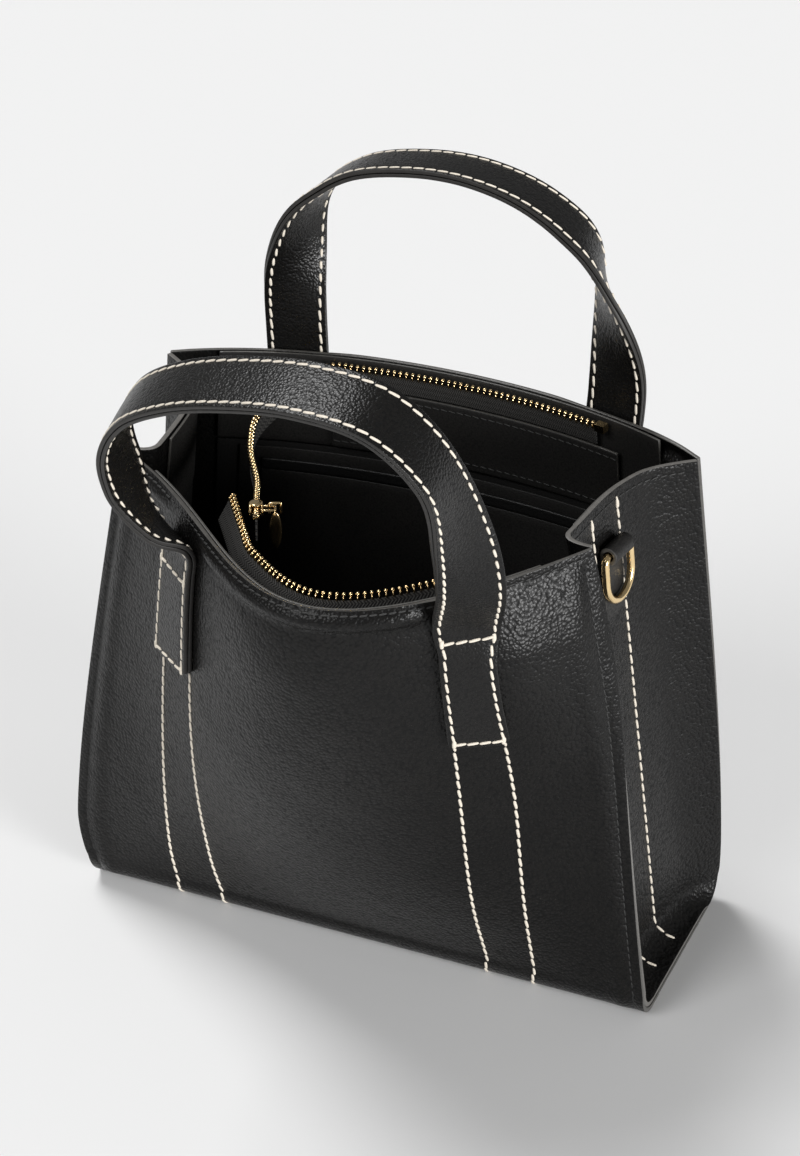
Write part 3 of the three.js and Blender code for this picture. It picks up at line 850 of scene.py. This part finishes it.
FRONT_CHAIN = (-0.35, 0.6)
FRONT_CHAIN_AT = 0.99
FRONT_CHAIN_REACH = 9
PARKED = 34
PARK_TURN = -16
PARK_STEPS = 4
TAPE_DEEP = FLAP_DEEP + FLAP_THICK / 2
front_rows = [[inside(front, m, TAPE_FOOT, TAPE_DEEP + FRONT_FLAP_REACH),
               inside(front, m, FRONT_CHAIN_AT, FLAP_DEEP + FRONT_CHAIN_REACH)]
              for m in reversed(between(*FRONT_CHAIN))]
last_row = front_rows[-1]
leftward = (last_row[1] - front_rows[-2][1]).normalized()
leftward = Matrix.Rotation(math.radians(PARK_TURN), 3, "Z") @ leftward
for i in range(PARK_STEPS):
    front_rows.append([p + leftward * PARKED * (i + 1) / PARK_STEPS for p in last_row])
zip_half("front", front_rows, False)

BACK_CHAIN = (-0.64, 0.42)
BACK_CHAIN_AT = 0.982
BACK_CHAIN_REACH = 2.6
BACK_FREE = ((-56, 32, 203), (-61, 8, 199), (-55, -12, 197), (-41, -36, 197))
STRAIGHT_END = 22
LANDING_ALONG = 8
LANDING_BESIDE = 8.4
mate = (last_row[1] - last_row[0]).normalized()
beside = (mate - leftward * mate.dot(leftward)).normalized()
landing = last_row[1] + leftward * LANDING_ALONG + beside * LANDING_BESIDE
free_line = [Vector(p) for p in BACK_FREE]
slide = (landing - free_line[-1]).normalized()
free_line += [landing - slide * STRAIGHT_END, landing - slide * STRAIGHT_END / 2, landing]
back_rows = [[inside(back, m, TAPE_FOOT, TAPE_DEEP + BACK_FLAP_REACH),
              inside(back, m, BACK_CHAIN_AT, FLAP_DEEP + BACK_CHAIN_REACH)]
             for m in between(*BACK_CHAIN)]
back_rows += [[p - Vector((0, 0, TAPE_WIDE)), p] for p in free_line]
zip_half("back", back_rows, True)

# Zip stops, slider and pull
# Small gold castings. A stop is crimped on the right end of each half. The slider runs on the back
# half: two plates, a bridge between them, and a bail on two posts that holds the pull.
STOP_ROUND = 0.3
for node in ("zip_stop_front", "zip_stop_back"):
    softened = coat(node, gold).modifiers.new("cast_edge", "BEVEL")
    softened.width = STOP_ROUND * MM
    softened.segments = EDGE_STEPS

# Half sizes of the lumps, and their places on the slider and the pull
SLIDER_BACK = 7
SLIDER_RISE = 1.4
PLATE = (2.5, 3.6, 0.6)
PLATE_AT = 2.1
BRIDGE = (3.4, 2.5, 0.6)
BRIDGE_AT = 2.2
POST = (0.5, 0.6, 2.5)
POST_OUT = 4.5
POST_APART = 2.2
BAIL = (0.5, 0.5, 2.8)
BAIL_AT = 6.9
PULL_BAR = (0.5, 0.6, 2.4)
PULL_ARM = 2.1
PULL_TAG = (2.3, 7.4, 0.6)
PULL_MIDDLE = -9
UP = Vector((0, 0, 1))
CAST = pellet(segments=24, rings=12, blunt=0.7)
rise = (UP - slide * slide.z).normalized()
aside = rise.cross(slide).normalized()
slider_at = landing - slide * SLIDER_BACK + rise * SLIDER_RISE
bail_at = slider_at + aside * BAIL_AT
swing_out = Vector((-slide.y, slide.x, 0)).normalized()
flat_on = swing_out.cross(UP)
slider_frame = (rise, slide, aside)
pull_frame = (swing_out, UP, flat_on)


def casting(name, node, body, parts):
    """Rounded lumps that stand for a node, each with a centre, three directions and half sizes."""
    made = scatter(name, CAST, [stretched(*lump) for lump in parts])
    dress(made, body, "gold_metal", gold)
    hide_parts(node)


casting("slider_casting", "zip_slider", "slider", (
    (slider_at + aside * PLATE_AT, slider_frame, PLATE),
    (slider_at - aside * PLATE_AT, slider_frame, PLATE),
    (slider_at + rise * BRIDGE_AT, (slide, aside, rise), BRIDGE),
    (slider_at + aside * POST_OUT + slide * POST_APART, slider_frame, POST),
    (slider_at + aside * POST_OUT - slide * POST_APART, slider_frame, POST),
    (bail_at, (rise, aside, slide), BAIL),
))
casting("pull_casting", "zip_pull", "pull", (
    (bail_at + UP * PULL_ARM, (UP, flat_on, swing_out), PULL_BAR),
    (bail_at + swing_out * PULL_ARM, (swing_out, flat_on, UP), PULL_BAR),
    (bail_at - swing_out * PULL_ARM, (swing_out, flat_on, UP), PULL_BAR),
    (bail_at + UP * PULL_MIDDLE, pull_frame, PULL_TAG),
))

# Handles
# Each is a flat strap of two leathers with painted edges. Its two ends are sewn to a panel in a
# stitched box, and between them the strap stands free, turns edge-on and arches over the mouth.
STRAP = 24
STRAP_THICK = 3.4
STRAP_CORNER = 3
STRAP_CROWN = 0.35
STRAP_GROOVE = 0.35
LAYER_THICK = 1.6
STRAP_GRID = (24, 240)
PATCH_LOW = 0.665
PATCH_TOP = 0.885
LAUNCH = 10
STAND = 0.6
SLOPE_STEP = 0.01
LINE_AT = 9.7
STITCH_PITCH = 4.85
STITCH_LONG = 4.3
STITCH_WIDE = 1.2
STITCH_HIGH = 0.9
STITCH_SLANT = 7
RAIL_STEPS = 80

# The lengths past a patch between which the strap turns edge-on, and a knot's half sizes up, across
# and along
SLOW_TWIST = (30, 100)
QUICK_TWIST = (9, 52)
KNOT = (0.7, 0.85, 1.7)

strap_leather = grained("strap_leather", BLACK, SOFT_BLACK,
                        rough=0.22, grain=0.28, cell=1.0, slack=0.3, shine=0.28)
strap_edge = mottled("strap_edge", (0.02, 0.019, 0.018), (0.04, 0.038, 0.036),
                     rough=0.34, spread=0.15, scale=420, bump=0.2, Specular_IOR_Level=0.2)
thread = mottled("cream_thread", (0.60, 0.53, 0.43), (0.88, 0.82, 0.72),
                 rough=0.6, spread=0.2, scale=1500, bump=0.6, Specular_IOR_Level=0.3)
STITCH = pellet(segments=8, rings=6, blunt=0.6)


def sew(name, lines, stuff, body, pitch=STITCH_PITCH, long=STITCH_LONG, wide=STITCH_WIDE, knots=()):
    """Stitches along each line, which gives a point and a normal for a share from 0 to 1.

    A short thick stitch lies at each knot, where the thread is made fast.
    """
    size = (wide * STITCH_HIGH / 2, wide / 2, long / 2)
    places = []
    for line in lines:
        rail = Line([line(i / RAIL_STEPS)[0] for i in range(RAIL_STEPS + 1)])
        count = max(1, round(rail.long / pitch))
        for i in range(count):
            d = (i + 0.5) * rail.long / count
            p, up = line(rail.share(d))
            t = rail.heading(d)
            t = (t - up * t.dot(up)).normalized()
            t = Matrix.Rotation(math.radians(STITCH_SLANT), 3, up) @ t
            places.append(stretched(p, (up, t.cross(up), t), size))
    for p, up in knots:
        t = (UP - up * up.z).normalized()
        places.append(stretched(p, (up, t.cross(up), t), KNOT))
    return dress(scatter(name, STITCH, places), body, "leather", stuff)


def span_of(surface, m, t):
    """The length across a panel that a step of 1 in m takes there."""
    return (surface(m + 0.5, t) - surface(m - 0.5, t)).length


class Strap:
    """A handle's middle line and the frame along it. d runs from one patch's top to the other's."""

    def __init__(self, surface, places, twists, lean, arch):
        self.surface = surface
        self.twists = twists
        self.ms = places
        self.lift = LEATHER + SEAM_GAP + STRAP_THICK / 2
        top = 2 + PATCH_TOP
        self.normals = [normal_of(surface, m, top) for m in self.ms]
        ends = [lifted(surface, m, top, self.lift) for m in self.ms]
        rises = [(surface(m, top + SLOPE_STEP) - surface(m, top - SLOPE_STEP)).normalized()
                 for m in self.ms]
        clear = [p + r * LAUNCH + n * STAND for p, r, n in zip(ends, rises, self.normals)]
        slope = math.radians(lean)
        left, right = ends
        placed = []
        for x, rise in arch:
            foot = left.lerp(right, (x - left.x) / (right.x - left.x))
            y = foot.y - rise * math.sin(slope)
            placed.append(Vector((x, y, foot.z + rise * math.cos(slope))))
        self.middle = left.lerp(right, 0.5)
        self.face = Vector((0, -math.cos(slope), -math.sin(slope)))
        self.route = through([left, clear[0], *placed, clear[1], right])
        self.long = self.route.long
        self.patch = (surface(self.ms[0], top) - surface(self.ms[0], 2 + PATCH_LOW)).length

    def sewn(self, end, d, a, h):
        """On the panel: d is the length above that end's patch top, negative on the patch."""
        m = self.ms[end]
        t = 2 + PATCH_TOP + d / self.patch * (PATCH_TOP - PATCH_LOW)
        across = m + (1 - 2 * end) * a / span_of(self.surface, m, t)
        return lifted(self.surface, across, t, self.lift + h)

    def free(self, d, a, h):
        """Off the panel: the strap turns from the panel's face until its edge faces forward."""
        p = self.route.at(d)
        t = self.route.heading(d)
        crest = t.cross(self.face).normalized()
        if crest.dot(p - self.middle) < 0:
            crest.negate()
        end = 0 if d < self.long / 2 else 1
        start, stop = self.twists[end]
        turn = smooth((min(d, self.long - d) - start) / (stop - start)) * math.pi / 2
        n = self.normals[end] * math.cos(turn) + crest * math.sin(turn)
        n = (n - t * n.dot(t)).normalized()
        return p + n * h + t.cross(n) * a

    def at(self, d, a, h):
        """The point at a length, a distance across the strap and a height off its middle."""
        end = 0 if d < self.long / 2 else 1
        beyond = min(d, self.long - d)
        to_end = beyond + self.patch
        if to_end < STRAP_CORNER:
            cut = STRAP_CORNER - math.sqrt(max(STRAP_CORNER**2 - (STRAP_CORNER - to_end)**2, 0))
            a *= 1 - cut / (STRAP / 2)
        if beyond <= 0:
            return self.sewn(end, beyond, a, h)
        if beyond >= LAUNCH:
            return self.free(d, a, h)
        return self.sewn(end, beyond, a, h).lerp(self.free(d, a, h), smooth(beyond / LAUNCH))

    def relief(self, a):
        """How far the faces stand out: crowned in the middle and drawn in along the stitches."""
        crown = STRAP_CROWN * (1 - (2 * a / STRAP) ** 2)
        return crown - STRAP_GROOVE * hump(abs(a), LINE_AT, GROOVE_WIDE)

    def ply(self, face):
        """The middle of the outer or the inner leather."""
        low, high = -self.patch, self.long + self.patch

        def laid(u, v):
            a = mix(-1, 1, u) * STRAP / 2
            rise = face * (STRAP_THICK - LAYER_THICK + self.relief(a)) / 2
            return self.at(mix(low, high, v), a, rise)
        return laid

    def line(self, low, high, a, face):
        """A stitch line along one face between two lengths."""
        rise = face * (STRAP_THICK / 2 + self.relief(a))

        def place(s):
            d = mix(low, high, s)
            p = self.at(d, a, rise)
            return p, (p - self.at(d, a, 0)).normalized()
        return place

    def cross_line(self, d):
        """A stitch line across the outer face, which closes a box."""
        def place(s):
            a = mix(-LINE_AT, LINE_AT, s)
            p = self.at(d, a, STRAP_THICK / 2 + self.relief(a) / 2)
            return p, (p - self.at(d, a, 0)).normalized()
        return place


# Each arch leans forward by an angle and goes through places to the right and up
FRONT_LEAN = 20
FRONT_ARCH = ((-62, 25), (-67, 46), (-66, 66), (-54, 87), (-33, 102), (-8, 112), (20, 118),
              (46, 115), (63, 96), (69, 62), (69, 35))
BACK_LEAN = -3
BACK_ARCH = ((-65, 20), (-66, 60), (-60, 84), (-42, 100), (-15, 107), (10, 107), (34, 100),
             (53, 86), (62, 64), (67, 40), (67, 21))
straps = {
    "front": Strap(front, STRAPS_AT["front"], (QUICK_TWIST, SLOW_TWIST), FRONT_LEAN, FRONT_ARCH),
    "back": Strap(back, STRAPS_AT["back"], (SLOW_TWIST, SLOW_TWIST), BACK_LEAN, BACK_ARCH),
}

# How far above the top of each patch its stitched box is closed
BOX_TOPS = {"front": (-1, 5), "back": (2, 2)}
for name, strap in straps.items():
    low, high = -strap.patch, strap.long + strap.patch
    plies = []
    for kind, face in (("outer", 1), ("inner", -1)):
        band = skin(f"{name}_strap_{kind}", strap.ply(face), STRAP_GRID, (STRAP, high - low))
        thicken(band, LAYER_THICK, CENTRED)
        plies.append(dress(band, None, "leather", strap_leather, strap_edge))
    ends = [f"{kind}_{name}_{end}" for kind in ("patch", "leg") for end, _ in SIDES]
    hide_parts(f"handle_{name}", *ends)
    inset = STRAP / 2 - LINE_AT
    lines = [strap.line(low + inset, high - inset, a, 1) for a in (-LINE_AT, LINE_AT)]
    lines += [strap.line(LAUNCH, strap.long - LAUNCH, a, -1) for a in (-LINE_AT, LINE_AT)]
    tops = BOX_TOPS[name]
    box_ends = (low + inset, tops[0], strap.long - tops[1], high - inset)
    crossings = [strap.cross_line(d) for d in box_ends]
    corners = [crossing(s) for crossing in crossings for s in (0, 1)]
    sewn = sew(f"{name}_strap_stitches", lines + crossings, thread, None, knots=corners)
    hinge = next(j for j in frame["joints"] if j["name"] == f"{name}_handle_swing")
    at = Vector(hinge["pos_m"])
    for soft_piece in (*plies, sewn):
        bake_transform(soft_piece)

# Topstitching of the body
# Cream lines run on down the panels from each strap to the base, and in pairs down both gussets.
# Black thread closes the side seams, holds the rim and sews the flaps inside.
LINES_FOOT = 1.2
SEAM_FOOT = 1.1
SEAM_AT = 1 - 2 * STITCH_IN / BASE_WIDTH
RIM_AT = 3 - STITCH_IN / WALL_TALL
RIM_LINE_IN = 2.4
RIM_LINE_AT = 3 - RIM_LINE_IN / WALL_TALL
RIM_LINE_ENDS = (-0.96, 0.96)
FLAP_LINES = (0.1, 0.9)
WEB_LINE_TOP = 2.985
WEB_KNOT = 0.01
WEB_REACH = 0.02
WEB_RIM_ENDS = (0.03, 0.97)
FINE = {"pitch": 3.4, "long": 2.9, "wide": 0.75}

# How far sideways the lines under each strap have drifted where they reach the base
LINE_DRIFTS = {"front": (-3.3, -5), "back": (0, 0)}

black_thread = mottled("black_thread", (0.006, 0.006, 0.006), (0.025, 0.025, 0.024),
                       rough=0.4, spread=0.3, scale=1500)


def on_surface(surface, path, height):
    """A stitch line that follows a path on a surface, at a height."""
    def place(s):
        a, b = path(s)
        n = normal_of(surface, a, b)
        return surface(a, b) + n * height, n
    return place


for name, surface in WALLS:
    lines = []
    for m, drift in zip(straps[name].ms, LINE_DRIFTS[name]):
        for a in (-LINE_AT, LINE_AT):
            def path(s, m=m, a=a, drift=drift):
                t = mix(LINES_FOOT, 2 + PATCH_LOW, s)
                return m + (a + drift * (1 - s)) / span_of(surface, m, t), t
            lines.append(on_surface(surface, path, LEATHER))
    sew(f"{name}_body_lines", lines, thread, "bag")
    sunk = LEATHER - GROOVE
    lines = [on_surface(surface, lambda s, m=m: (m, mix(SEAM_FOOT, RIM_AT, s)), sunk)
             for m in (-SEAM_AT, SEAM_AT)]
    lines.append(on_surface(panels[name], lambda s: (mix(*RIM_LINE_ENDS, s), RIM_LINE_AT), LEATHER))
    sew(f"{name}_seam_stitches", lines, black_thread, "bag", **FINE)
    lines = [on_surface(flaps[name], lambda s, v=v: (s, v), -FLAP_THICK) for v in FLAP_LINES]
    sew(f"{name}_flap_stitches", lines, black_thread, "bag", **FINE)

for name, side in SIDES:
    web = gusset(side)
    lines = []
    for a in (-LINE_AT, LINE_AT):
        def path(s, a=a):
            t = mix(WEB_LINE_TOP, LINES_FOOT, s)
            step = (web(0.5 + WEB_REACH, t) - web(0.5 - WEB_REACH, t)).length
            return 0.5 + a * 2 * WEB_REACH / step, t
        lines.append(on_surface(web, path, LEATHER))
    sew(f"{name}_gusset_lines", lines, thread, "bag", knots=[line(WEB_KNOT) for line in lines])
    rim_line = on_surface(web, lambda s: (mix(*WEB_RIM_ENDS, s), RIM_AT), LEATHER)
    sew(f"{name}_gusset_rim_stitches", [rim_line], black_thread, "bag", **FINE)

# Side D-rings and their tabs
# Each D-ring is bent from gold wire. A short strip of leather is folded round its straight bar and
# sewn to the gusset between the two cream lines.
RING_WIRE = 3
RING_INNER = 16
RING_ARM = 10.5
RING_DROP = 20
RING_CORNER = 2.5
WIRE_SIDES = 16
CORNER_STEPS = 6
BOW_STEPS = 36
TAB_WIDTH = 14
TAB_TAIL = 27
TAB_THICK = 1.7
TAB_ROUND = 0.4
TAB_TURN = 319
TAB_STEPS = 29
TAB_GRID = (10, 90)
BAR_PLAY = 0.4


def tube(name, rail, frames, radius):
    """A closed ring of wire: rail points with (side, up) directions at each."""
    count = len(rail)

    def around(u, v):
        i = round(v * count) % count
        a = u * 2 * math.pi
        side, up = frames[i]
        return rail[i] + (side * math.cos(a) + up * math.sin(a)) * radius
    made = skin(name, around, (WIRE_SIDES, count))
    bm = bmesh.new()
    bm.from_mesh(made.data)
    bmesh.ops.remove_doubles(bm, verts=bm.verts, dist=1e-6)
    bmesh.ops.recalc_face_normals(bm, faces=bm.faces)
    bm.to_mesh(made.data)
    bm.free()
    return made


for name, side in SIDES:
    web = gusset(side)
    t = 3 - RING_DROP / (web(0.5, 3) - web(0.5, 2)).length
    out = normal_of(web, 0.5, t)
    along = out.cross(UP).normalized() * -side
    down = along.cross(out).normalized()
    if down.z > 0:
        down.negate()
    bar = web(0.5, t) + out * (LEATHER + SEAM_GAP + RING_WIRE / 2 + BAR_PLAY + TAB_THICK)
    half = (RING_INNER + RING_WIRE) / 2
    rail = []
    frames = []
    bends = (
        (half - RING_CORNER, RING_CORNER, RING_CORNER, -90, 0, CORNER_STEPS),
        (0, RING_ARM, half, 0, 180, BOW_STEPS),
        (RING_CORNER - half, RING_CORNER, RING_CORNER, 180, 270, CORNER_STEPS),
    )
    for cy, cz, r, start, stop, count in bends:
        for i in range(count + 1):
            a = math.radians(mix(start, stop, i / count))
            away = along * math.cos(a) + down * math.sin(a)
            rail.append(bar + along * cy + down * cz + away * r)
            frames.append((away, out))
    ring = tube(f"{name}_ring_wire", rail, frames, RING_WIRE / 2)
    dress(ring, f"ring_{name}", "gold_metal", gold)
    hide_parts(f"d_ring_{name}")

    coil = RING_WIRE / 2 + BAR_PLAY + TAB_THICK / 2
    fold = [-out * coil + down * TAB_TAIL, -out * coil + down * TAB_TAIL / 2, -out * coil]
    for i in range(1, TAB_STEPS + 1):
        a = math.radians(180 + TAB_TURN * i / TAB_STEPS)
        fold.append(out * coil * math.cos(a) + down * coil * math.sin(a))
    wrap = Line([bar + p for p in fold])

    def folded(u, v):
        across = mix(-0.5, 0.5, u if side > 0 else 1 - u)
        return wrap.at(v * wrap.long) + along * across * TAB_WIDTH
    tab = skin(f"{name}_tab_strip", folded, TAB_GRID, (TAB_WIDTH, wrap.long))
    thicken(tab, TAB_THICK, CENTRED, TAB_ROUND)
    dress(tab, "bag", "leather", smooth_leather, edge_paint)
    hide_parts(f"ring_tab_{name}")

# Table, light and camera
# A pale seamless table in a dim studio, seen from the front right and above. The three soft lights
# stand far off, so that the table is lit evenly.
PALE = (0.79, 0.79, 0.79, 1)
DIM = (0.2, 0.2, 0.2, 1)
TABLE_HALF = 6000
TABLE_GRID = (2, 2)


def table_top(u, v):
    return Vector((mix(-1, 1, u) * TABLE_HALF, mix(-1, 1, v) * TABLE_HALF, 0))


table = skin("table", table_top, TABLE_GRID)
pale = finish("pale_table", Base_Color=PALE, Roughness=0.9, Specular_IOR_Level=0.1)[0]
table.data.materials.append(pale)
table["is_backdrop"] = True

world = bpy.data.worlds.new("studio")
bpy.context.scene.world = world
world.use_nodes = True
world.node_tree.nodes["Background"].inputs["Color"].default_value = DIM


def lamp(name, toward, wide, strength):
    """A soft far light, wide as seen from the bag in degrees."""
    light = bpy.data.lights.new(name, "SUN")
    light.angle = math.radians(wide)
    light.energy = strength
    made = bpy.data.objects.new(name, light)
    made.rotation_euler = Vector(toward).to_track_quat("Z", "Y").to_euler()
    bpy.context.scene.collection.objects.link(made)


lamp("overhead", toward=(-0.46, 0.2, 0.86), wide=24, strength=2.0)
lamp("fill", toward=(-0.33, -0.72, 0.6), wide=30, strength=1.2)
lamp("right", toward=(0.91, -0.39, 0.13), wide=24, strength=3.4)

CAMERA_AZIMUTH = 23.074
CAMERA_HEIGHT = 31.193
CAMERA_AWAY = 1218.262
CAMERA_AIM = Vector((0.895, 0, 145.87))
FOCAL_PIXELS = 3200.067
FRAME_TALL = 1156
SENSOR = 36
camera_data = bpy.data.cameras.new("camera")
camera_data.sensor_width = SENSOR
camera_data.lens = FOCAL_PIXELS / FRAME_TALL * SENSOR
camera = bpy.data.objects.new("camera", camera_data)
azimuth = math.radians(CAMERA_AZIMUTH)
height = math.radians(CAMERA_HEIGHT)
level = math.cos(height)
toward = Vector((math.sin(azimuth) * level, -math.cos(azimuth) * level, math.sin(height)))
camera.location = (CAMERA_AIM + toward * CAMERA_AWAY) * MM
camera.rotation_euler = (math.pi / 2 - height, 0, azimuth)
bpy.context.scene.collection.objects.link(camera)
bpy.context.scene.camera = camera
bpy.context.scene.view_settings.view_transform = "Standard"

low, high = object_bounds()
{"cad": [list(cad_low), list(cad_high)], "visual": [list(low), list(high)]}
